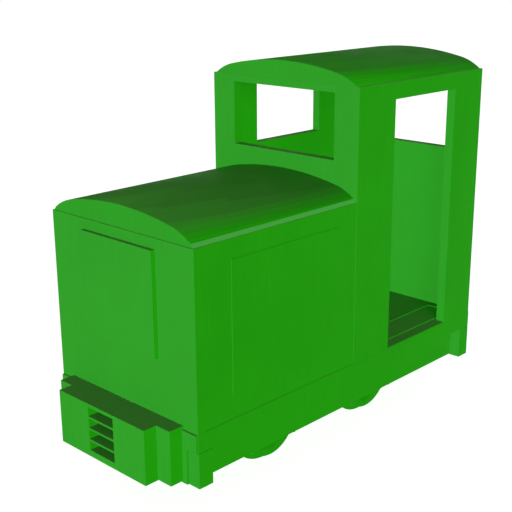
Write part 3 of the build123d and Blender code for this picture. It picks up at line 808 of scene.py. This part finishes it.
def add_piece(name, bm, material, body="chassis", smooth=False):
    """Makes an object of a mesh and lets it ride on its body."""
    bmesh.ops.recalc_face_normals(bm, faces=bm.faces)
    mesh = bpy.data.meshes.new(name)
    bm.to_mesh(mesh)
    bm.free()
    if smooth:
        mesh.shade_smooth()
        mesh.set_sharp_from_angle(angle=SMOOTH_ANGLE)
    mesh.materials.append(material)
    piece = bpy.data.objects.new(name, mesh)
    bpy.context.scene.collection.objects.link(piece)
    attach(piece, body)
    return piece


def skin(bm, loops, ring=False):
    """Faces from loop to loop, closed by two end faces, or round into the first loop."""
    following = loops[1:] + loops[:1] if ring else loops[1:]
    for low, high in zip(loops, following):
        for number in range(len(low)):
            after = (number + 1) % len(low)
            bm.faces.new((low[number], low[after], high[after], high[number]))
    if not ring:
        bm.faces.new(list(reversed(loops[0])))
        bm.faces.new(loops[-1])


def circle(sides):
    """Angles of the corners of a regular outline."""
    return [2 * pi * number / sides for number in range(sides)]


def stack(bm, place, axis, rings, sides):
    """A closed turned or many-sided solid: rings of a radius and a height along an axis."""
    turn = Vector(axis).to_track_quat("Z", "Y").to_matrix().to_4x4()
    matrix = Matrix.Translation(place) @ turn
    loops = []
    for radius, height in rings:
        corners = [Vector((radius * cos(angle), radius * sin(angle), height)) for angle in circle(sides)]
        loops.append([bm.verts.new(matrix @ corner) for corner in corners])
    skin(bm, loops)


def hex_bolt(bm, place, axis, size):
    """A hexagon head with chamfered corners on a round washer."""
    washer = size * WASHER
    head = size * HEAD
    low, high = (size * radius for radius in WASHER_RADII)
    stack(bm, place, axis, ((low, 0.0), (low, washer * WASHER_WALL), (high, washer)), WASHER_SIDES)
    low, high = (size * radius for radius in HEAD_RADII)
    rings = ((low, washer * HEAD_START), (low, washer + head * HEAD_WALL), (high, washer + head))
    stack(bm, place, axis, rings, HEAD_SIDES)


def add_bar(bm, matrix, angle, inner, outer, half, low, high):
    """A slim bar that points from a centre at an angle."""
    turn = Matrix.Rotation(angle, 4, "Z")
    outline = ((-half, inner), (half, inner), (half, outer), (-half, outer))
    loops = [[bm.verts.new(matrix @ turn @ Vector((x, y, z))) for x, y in outline] for z in (low, high)]
    bm.faces.new(loops[0][::-1])
    bm.faces.new(loops[1])
    for number in range(4):
        after = (number + 1) % 4
        bm.faces.new((loops[0][number], loops[0][after], loops[1][after], loops[1][number]))


def rounded_outline(half_u, half_v, count, power, pull=0.0):
    """Points of a rectangle with round corners, its sides pulled in by a share between them."""
    points = []
    for angle in circle(count):
        u, v = cos(angle), sin(angle)
        scale = (abs(u) ** power + abs(v) ** power) ** (-1 / power) * (1 - pull * cos(2 * angle) ** 2)
        points.append((u * scale * half_u, v * scale * half_v))
    return points


def plate(bm, middle, normal, along, half_along, half_across, thickness):
    """A raised plate with round corners and a chamfered edge."""
    normal = Vector(normal)
    along = Vector(along)
    across = normal.cross(along)
    steps = ((0.0, -SINK), (0.0, thickness * PLATE_WALL), (thickness * PLATE_CHAMFER, thickness))
    loops = []
    for inset, height in steps:
        outline = rounded_outline(half_along - inset, half_across - inset, PLATE_SIDES, PLATE_POWER)
        places = [middle + along * u + across * v + normal * height for u, v in outline]
        loops.append([bm.verts.new(place) for place in places])
    skin(bm, loops)


def arc(x, radius, size, start, end):
    """Points of an arc in the wheel's half section, by its centre, size and angles in degrees."""
    angles = [radians(start + (end - start) * step / ARC_STEPS) for step in range(ARC_STEPS + 1)]
    return [(x + size * cos(angle), radius + size * sin(angle)) for angle in angles]


def wheel_section():
    """Half section of a wheel, from the bore round to it: distance from the middle plane, and radius."""
    inner = front_wheel[0][0]
    outer = inner + RIM_WIDTH
    hub = front_wheel[1][0]
    lean = degrees(FLANGE_LEAN)
    tip_x = inner + FLANGE_TIP
    tip_radius = flange_radius - FLANGE_TIP
    drop = tip_radius - tread_radius - FLANGE_ROOT + (FLANGE_TIP + FLANGE_ROOT) * sin(FLANGE_LEAN)
    root_x = tip_x + (FLANGE_TIP + FLANGE_ROOT) * cos(FLANGE_LEAN) + drop * tan(FLANGE_LEAN)
    edge_radius = tread_radius - (outer - RIM_EDGE - root_x) * TREAD_CONE - RIM_EDGE
    rim_low = tread_radius - RIM_DEPTH
    web = outer - WEB_DEPTH
    slope = degrees(WEB_SLOPE)
    straight = (WEB_DEPTH - 2 * WEB_FILLET * (1 - cos(WEB_SLOPE))) / sin(WEB_SLOPE)
    fall = 2 * WEB_FILLET * sin(WEB_SLOPE) + straight * cos(WEB_SLOPE)
    points = [(inner, AXLE_RADIUS)]
    points += arc(tip_x, tip_radius, FLANGE_TIP, 180, 90) + arc(tip_x, tip_radius, FLANGE_TIP, 80, lean)
    points += arc(root_x, tread_radius + FLANGE_ROOT, FLANGE_ROOT, 180 + lean, 270)
    points += arc(outer - RIM_EDGE, edge_radius, RIM_EDGE, 90, 0)
    points += arc(outer - WEB_FILLET, rim_low, WEB_FILLET, 0, -slope)
    points += arc(web + WEB_FILLET, rim_low - fall, WEB_FILLET, 180 - slope, 180)
    points += arc(web + WEB_FILLET - WEB_DISH, HUB_BASE + WEB_FILLET, WEB_FILLET, 180, 260)
    points += arc(hub - HUB_EDGE, HUB_TIP - HUB_EDGE, HUB_EDGE, 80, 0)
    points += [(hub, AXLE_RADIUS + 2 * HUB_EDGE), (hub - HUB_EDGE, AXLE_RADIUS)]
    return points


def wheel(name, side, axle_y, body, material):
    """A cast wheel with a rounded flange, a coned tread, a dished web and a tapered hub."""
    bm = bmesh.new()
    loops = []
    for x, radius in wheel_section():
        turns = [(radius * cos(angle), radius * sin(angle)) for angle in circle(WHEEL_SIDES)]
        loops.append([bm.verts.new((side * x, axle_y + y, axle_z + z)) for y, z in turns])
    skin(bm, loops, ring=True)
    piece = add_piece(name + "_casting", bm, material, body, smooth=True)
    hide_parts(name)


def wheels(materials):
    """The four wheel castings, which take the place of the frame's wheels."""
    for end, axle_y in zip(("front", "rear"), axle_ys):
        for side, word in ((1, "right"), (-1, "left")):
            wheel(f"wheel_{end}_{word}", side, axle_y, f"{end}_wheelset", materials["wheel"])


def axlebox_fittings(materials):
    """A turned cover with four bolts on the outside of each axlebox."""
    for name, axle_y in zip(("axleboxes_front", "axleboxes_rear"), axle_ys):
        bm = bmesh.new()
        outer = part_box(name)[1][0]
        for side in (-1, 1):
            face = Vector((side * outer, axle_y, axle_z))
            stack(bm, face, (side, 0, 0), COVER_RINGS, COVER_SIDES)
            for bolt_y in (-COVER_BOLT_Y, COVER_BOLT_Y):
                for bolt_z in (-COVER_BOLT_Z, COVER_BOLT_Z):
                    hex_bolt(bm, face + Vector((0, bolt_y, bolt_z)), (side, 0, 0), COVER_BOLT)
        add_piece(f"{name}_covers", bm, materials["gear"])


def guide_fittings(materials):
    """Bolts through the feet of the horn guides into the side plates."""
    bm = bmesh.new()
    low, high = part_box("horn_guides")
    foot_x = high[0] - GUIDE_FOOT_PLATE
    box_low, box_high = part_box("axleboxes_front")
    box_half = (box_high[1] - box_low[1]) / 2
    for axle_y in axle_ys:
        for side_x in (-1, 1):
            for side_y in (-1, 1):
                y = axle_y + side_y * (box_half + GUIDE_FOOT * GUIDE_BOLT_ACROSS)
                for share in GUIDE_BOLTS_UP:
                    z = low[2] + (high[2] - low[2]) * share
                    hex_bolt(bm, Vector((side_x * foot_x, y, z)), (-side_x, 0, 0), GUIDE_BOLT)
    add_piece("horn_guide_bolts", bm, materials["gear"])


def gauge_rings(rings):
    """Rings of a gauge, with radii in metres."""
    return [(GAUGE_RADIUS * share, height) for share, height in rings]


def desk_gauges(materials):
    """Three dial gauges let into the sloping face of the desk."""
    low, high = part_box("control_desk")
    slope = Vector((0.0, -DESK_SLOPE_RUN, DESK_SLOPE_RISE))
    normal = Vector((0.0, DESK_SLOPE_RISE, DESK_SLOPE_RUN)).normalized()
    middle = Vector(((low[0] + high[0]) / 2, high[1], high[2] - DESK_SLOPE_RISE)) + slope / 2
    turn = normal.to_track_quat("Z", "Y").to_matrix().to_4x4()
    tick = [GAUGE_RADIUS * share for share in TICK]
    needle = [GAUGE_RADIUS * share for share in NEEDLE]
    bezels = bmesh.new()
    faces = bmesh.new()
    needles = bmesh.new()
    for number, needle_degrees in zip((-1, 0, 1), NEEDLE_DEGREES):
        place = middle + Vector((number * GAUGE_PITCH, 0.0, 0.0))
        stack(bezels, place, normal, gauge_rings(BEZEL_RINGS), GAUGE_SIDES)
        stack(faces, place, normal, gauge_rings(DIAL_RINGS), GAUGE_SIDES)
        matrix = Matrix.Translation(place + normal * NEEDLE_HEIGHT) @ turn
        for count in range(TICK_COUNT):
            add_bar(needles, matrix, radians(TICK_START + TICK_STEP * count), *tick, -TICK_THICKNESS, 0.0)
        add_bar(needles, matrix, radians(needle_degrees), *needle, 0.0, NEEDLE_THICKNESS)
        stack(needles, place + normal * BOSS_HEIGHT, normal, gauge_rings(BOSS_RINGS), BOSS_SIDES)
    add_piece("gauge_bezels", bezels, materials["black"])
    add_piece("gauge_dials", faces, materials["dial"])
    add_piece("gauge_needles", needles, materials["black"])


def swell(piece, base, normal, thickness):
    """Swells a block as stuffed cloth that is held at its foot and its seam."""
    scene = bpy.context.scene
    remesh = piece.modifiers.new("remesh", "REMESH")
    remesh.mode = "VOXEL"
    remesh.voxel_size = PAD_VOXEL
    evaluated = piece.evaluated_get(bpy.context.evaluated_depsgraph_get())
    mesh = bpy.data.meshes.new_from_object(evaluated)
    piece.modifiers.clear()
    piece.data = mesh
    held = []
    for vertex in mesh.vertices:
        height = (vertex.co - base).dot(normal)
        if height < PAD_VOXEL * FOOT_HELD or abs(height - SEAM * thickness) < PAD_VOXEL * SEAM_HELD:
            held.append(vertex.index)
    piece.vertex_groups.new(name="held").add(held, 1.0, "REPLACE")
    cloth = piece.modifiers.new("cloth", "CLOTH")
    cloth.settings.use_pressure = True
    cloth.settings.uniform_pressure_force = PAD_PRESSURE
    cloth.settings.vertex_group_mass = "held"
    cloth.settings.effector_weights.gravity = 0.0
    cloth.point_cache.frame_end = PAD_FRAMES
    for number in range(1, PAD_FRAMES + 1):
        scene.frame_set(number)
    evaluated = piece.evaluated_get(bpy.context.evaluated_depsgraph_get())
    swollen = [vertex.co.copy() for vertex in evaluated.data.vertices]
    piece.modifiers.clear()
    for vertex, place in zip(mesh.vertices, swollen):
        move = place - vertex.co
        if move.length > 0.0:
            vertex.co += move.normalized() * PAD_SWELL * tanh(move.length / PAD_SWELL)
    scene.frame_set(1)
    mesh.shade_smooth()
    finer = piece.modifiers.new("finer", "SUBSURF")
    finer.levels = 1
    finer.render_levels = 1


def pad(name, base, along, half_u, half_v, thickness, material):
    """A stuffed vinyl cushion with piping round its seam."""
    base, across, along = Vector(base), Vector((1, 0, 0)), Vector(along)
    normal = across.cross(along)
    start_u = half_u - PAD_SWELL / 2
    start_v = half_v - PAD_SWELL / 2

    def outline(inset, height):
        points = rounded_outline(start_u - inset, start_v - inset, PAD_SIDES, PAD_POWER, PAD_PULL)
        return [base + across * u + along * v + normal * height for u, v in points]

    block = bmesh.new()
    levels = [outline(inset, share * thickness) for inset, share in PAD_BLOCK]
    skin(block, [[block.verts.new(point) for point in level] for level in levels])
    piece = add_piece(name, block, material, smooth=True)
    swell(piece, base, normal, thickness)

    piping = bmesh.new()
    seam = outline(0.0, SEAM * thickness)
    loops = []
    for number, point in enumerate(seam):
        outward = (seam[(number + 1) % PAD_SIDES] - seam[number - 1]).normalized().cross(normal)
        offsets = [(outward * cos(angle) + normal * sin(angle)) * PIPING for angle in circle(PIPING_SIDES)]
        loops.append([piping.verts.new(point + offset) for offset in offsets])
    skin(piping, loops, ring=True)
    add_piece(f"{name}_piping", piping, material, smooth=True)


def seat_pads(materials):
    """A seat pad and a back pad of vinyl on the pressed seat."""
    low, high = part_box("driver_seat")
    middle_x = (low[0] + high[0]) / 2
    half = (high[0] - low[0]) / 2 - PAD_MARGIN
    seat_place = (middle_x, low[1] + SEAT_PAD_START, high[2] - SEAT_BACK_HEIGHT)
    back_place = (middle_x, high[1] - SEAT_BACK_DEPTH, high[2] - BACK_PAD_DROP)
    pad("seat_pad", seat_place, (0, 1, 0), half, SEAT_PAD_HALF, SEAT_PAD_THICKNESS, materials["vinyl"])
    pad("back_pad", back_place, (0, 0, 1), half, BACK_PAD_HALF, BACK_PAD_THICKNESS, materials["vinyl"])


def crankcase_doors(covers, bolts, side, low, high):
    """Plates with four bolts each along one side of the engine."""
    length = high[1] - low[1]
    for number in range(CYLINDERS):
        y = low[1] + length * (number + 0.5) / CYLINDERS
        middle = Vector((high[0] * side, y, low[2] + DOOR_HEIGHT))
        plate(covers, middle, (side, 0, 0), (0, 1, 0), DOOR_HALF_LENGTH, DOOR_HALF_HEIGHT, DOOR_THICKNESS)
        for bolt_y in (-DOOR_BOLT_Y, DOOR_BOLT_Y):
            for bolt_z in (-DOOR_BOLT_Z, DOOR_BOLT_Z):
                place = middle + Vector((side * DOOR_THICKNESS, bolt_y, bolt_z))
                hex_bolt(bolts, place, (side, 0, 0), DOOR_BOLT)


def head_joint(covers, bolts, side, low, high):
    """A bolted strip along the head joint on one side of the engine."""
    x = high[0] * side
    z = high[2] - STRIP_DROP
    length = high[1] - low[1]
    middle = Vector((x, (low[1] + high[1]) / 2, z))
    half_length = length / 2 - STRIP_MARGIN
    plate(covers, middle, (side, 0, 0), (0, 1, 0), half_length, STRIP_HALF_HEIGHT, STRIP_THICKNESS)
    for number in range(STRIP_BOLTS):
        y = low[1] + length * (number + 0.5) / STRIP_BOLTS
        hex_bolt(bolts, Vector((x + side * STRIP_THICKNESS, y, z)), (side, 0, 0), STRIP_BOLT)


def rocker_covers(covers, bolts, low, high):
    """A cover with two bolts over each cylinder."""
    length = high[1] - low[1]
    for number in range(CYLINDERS):
        middle = Vector((0.0, low[1] + length * (number + 0.5) / CYLINDERS, high[2]))
        plate(covers, middle, (0, 0, 1), (0, 1, 0), ROCKER_HALF_LENGTH, ROCKER_HALF_WIDTH, ROCKER_THICKNESS)
        for bolt_y in (-ROCKER_BOLT_Y, ROCKER_BOLT_Y):
            hex_bolt(bolts, middle + Vector((0.0, bolt_y, ROCKER_THICKNESS)), (0, 0, 1), ROCKER_BOLT)


def engine_fittings(materials):
    """Crankcase doors, head joints and rocker covers on the engine block."""
    low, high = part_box("engine")
    covers = bmesh.new()
    bolts = bmesh.new()
    for side in (-1, 1):
        crankcase_doors(covers, bolts, side, low, high)
        head_joint(covers, bolts, side, low, high)
    rocker_covers(covers, bolts, low, high)
    add_piece("engine_covers", covers, materials["gear"])
    add_piece("engine_bolts", bolts, materials["steel"])


# Stage

def sun(name, direction, power, angle, shadow):
    """A lamp far away in a direction, with or without a shadow."""
    data = bpy.data.lights.new(name, "SUN")
    data.energy = power
    data.angle = radians(angle)
    data.use_shadow = shadow
    lamp = bpy.data.objects.new(name, data)
    bpy.context.scene.collection.objects.link(lamp)
    lamp.rotation_euler = Vector(direction).to_track_quat("Z", "Y").to_euler()


def seen_directly(tree):
    """One for camera, glossy and transmission rays."""
    path = tree.nodes.new("ShaderNodeLightPath")
    either = calc(tree, "MAXIMUM", path.outputs["Is Camera Ray"], path.outputs["Is Glossy Ray"])
    return calc(tree, "MAXIMUM", either, path.outputs["Is Transmission Ray"])


def make_light():
    """A pale room that looks white, and the lamps."""
    world = bpy.data.worlds.new("studio")
    bpy.context.scene.world = world
    world.use_nodes = True
    tree = world.node_tree
    tree.nodes.clear()
    output = tree.nodes.new("ShaderNodeOutputWorld")
    background = tree.nodes.new("ShaderNodeBackground")
    background.inputs["Color"].default_value = (*WHITE, 1.0)
    strength = spread(tree, seen_directly(tree), 0.0, 1.0, ROOM, 1.0)
    tree.links.new(strength, background.inputs["Strength"])
    tree.links.new(background.outputs["Background"], output.inputs["Surface"])
    for lamp in LAMPS:
        sun(*lamp)


def make_floor():
    """A wide pale floor that keeps the shadow and looks white where it is lit."""
    mesh = bpy.data.meshes.new("floor")
    half = FLOOR_HALF
    corners = [(-half, -half, 0.0), (half, -half, 0.0), (half, half, 0.0), (-half, half, 0.0)]
    mesh.from_pydata(corners, [], [(0, 1, 2, 3)])
    floor = bpy.data.objects.new("floor", mesh)
    bpy.context.scene.collection.objects.link(floor)
    material, tree, shader = new_material("floor_surface")
    shader.inputs["Base Color"].default_value = (*FLOOR_GREY, 1.0)
    shader.inputs["Roughness"].default_value = FLOOR_ROUGHNESS
    shader.inputs["Specular IOR Level"].default_value = 0.0
    shader.inputs["Emission Color"].default_value = (*WHITE, 1.0)
    glow = calc(tree, "MULTIPLY", seen_directly(tree), FLOOR_GLOW)
    tree.links.new(glow, shader.inputs["Emission Strength"])
    mesh.materials.append(material)


make_camera()
materials = make_materials()
dress_frame(materials)
wheels(materials)
axlebox_fittings(materials)
guide_fittings(materials)
desk_gauges(materials)
seat_pads(materials)
engine_fittings(materials)
make_light()
make_floor()

bpy.context.scene.view_settings.view_transform = "Standard"
